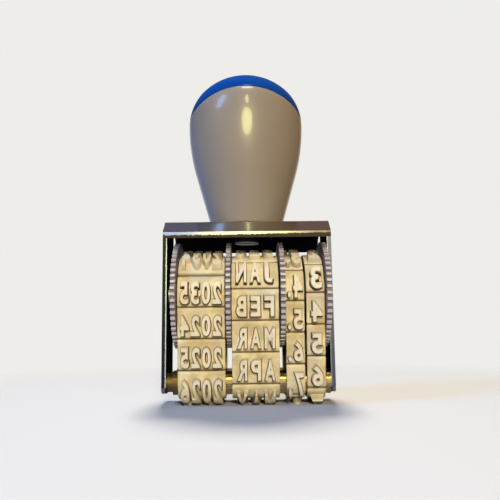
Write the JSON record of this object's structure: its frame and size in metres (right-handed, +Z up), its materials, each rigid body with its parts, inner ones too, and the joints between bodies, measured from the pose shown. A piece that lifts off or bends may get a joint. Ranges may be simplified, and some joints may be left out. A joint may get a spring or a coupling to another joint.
{
  "type": "hand band date stamp",
  "caption": "Hand date stamp: egg-shaped handle on a bent steel frame, with endless rubber type bands run from toothed thumb wheels down round a brass platen.",
  "frame": {"origin": "on the printing face, under the middle of the handle", "axes": "+X along the axle, to the right for a viewer in front; +Y away from that viewer; +Z up to the handle's cap"},
  "size_m": [0.0368, 0.0256, 0.0727],
  "materials": {
    "frame_steel": "dark, polished",
    "handle_plastic": "glossy grey",
    "cap_plastic": "glossy blue",
    "screw_steel": "dull zinc",
    "axle_steel": "bright drawn",
    "platen_brass": "drawn brass",
    "wheel_steel": "nickel plated",
    "drum_plastic": "matte black",
    "band_rubber": "matte natural rubber"
  },
  "bodies": {
    "stamp": {"frame": "frame_steel", "handle": "handle_plastic", "handle_cap": "cap_plastic", "handle_screw": "screw_steel", "screw_washer": "screw_steel", "wheel_axle": "axle_steel", "axle_spacer": "axle_steel", "platen_bar": "platen_brass", "year_band": "band_rubber", "month_band": "band_rubber", "day_units_band": "band_rubber", "day_tens_band": "band_rubber"},
    "year_wheel": {"year_disc": "wheel_steel", "year_drum": "drum_plastic"},
    "month_wheel": {"month_disc": "wheel_steel", "month_drum": "drum_plastic"},
    "day_units_wheel": {"day_units_disc": "wheel_steel", "day_units_drum": "drum_plastic"},
    "day_tens_wheel": {"day_tens_disc": "wheel_steel", "day_tens_drum": "drum_plastic"}
  },
  "joints": [
    {"name": "year_turn", "type": "hinge", "parent": "stamp", "child": "year_wheel", "pos_m": [0, 0, 0.023], "axis": [1, 0, 0], "continuous": true},
    {"name": "month_turn", "type": "hinge", "parent": "stamp", "child": "month_wheel", "pos_m": [0, 0, 0.023], "axis": [1, 0, 0], "continuous": true},
    {"name": "day_units_turn", "type": "hinge", "parent": "stamp", "child": "day_units_wheel", "pos_m": [0, 0, 0.023], "axis": [1, 0, 0], "continuous": true},
    {"name": "day_tens_turn", "type": "hinge", "parent": "stamp", "child": "day_tens_wheel", "pos_m": [0, 0, 0.023], "axis": [1, 0, 0], "continuous": true}
  ]
}
